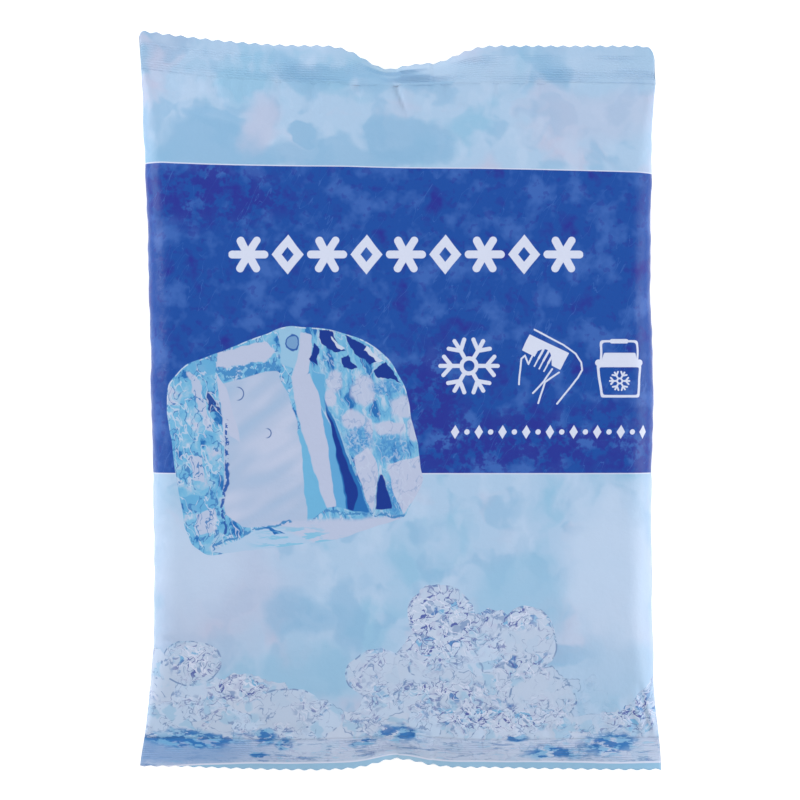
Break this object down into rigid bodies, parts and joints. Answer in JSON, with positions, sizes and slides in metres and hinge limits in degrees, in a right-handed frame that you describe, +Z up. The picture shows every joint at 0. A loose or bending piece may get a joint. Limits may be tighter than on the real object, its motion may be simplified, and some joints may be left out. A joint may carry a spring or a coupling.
{
  "type": "reusable ice pack",
  "caption": "Flat pillow-shaped gel pack in printed film, crimped shut at both ends, for keeping things cold.",
  "frame": {"origin": "middle of the pack's box, on the table that it lies on", "axes": "+X across the pack towards the side that the back seam is laid over to, +Y along it from the bottom seal to the top seal, +Z up through the printed front"},
  "size_m": [0.17, 0.241, 0.0182],
  "materials": {
    "printed_film": "satin printed plastic film: pale ice blue with a deep blue band"
  },
  "bodies": {
    "root": {"gel_pack": "printed_film"}
  },
  "joints": []
}
